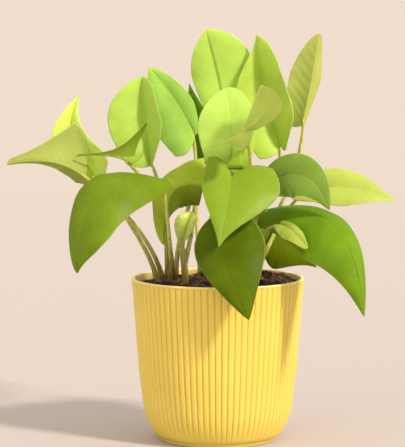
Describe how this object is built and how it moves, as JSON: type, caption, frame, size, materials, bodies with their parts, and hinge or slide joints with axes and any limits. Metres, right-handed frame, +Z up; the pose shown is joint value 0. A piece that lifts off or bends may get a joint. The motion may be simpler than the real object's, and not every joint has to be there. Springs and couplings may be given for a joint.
{
  "type": "potted pothos plant",
  "caption": "Golden pothos with heart-shaped lime and green leaves on slender stalks, standing in a ribbed yellow plastic pot of potting mix.",
  "frame": {"origin": "centre of the pot's flat underside", "axes": "+Z up along the pot's axis; the plant's front faces -Y; +X is to the right as seen from the front"},
  "size_m": [0.2673, 0.1632, 0.2847],
  "materials": {
    "pot_plastic": "satin",
    "potting_mix": "matte",
    "leaf_lime": "satin",
    "leaf_green": "satin"
  },
  "bodies": {
    "root": {"pot": "pot_plastic", "soil": "potting_mix", "cutting_far_left": "leaf_lime", "cutting_left": "leaf_lime", "cutting_left_front": "leaf_green", "cutting_with_new_leaf": "leaf_lime", "cutting_back": "leaf_lime", "cutting_front": "leaf_green", "cutting_back_right": "leaf_lime", "cutting_right": "leaf_green"}
  },
  "joints": []
}
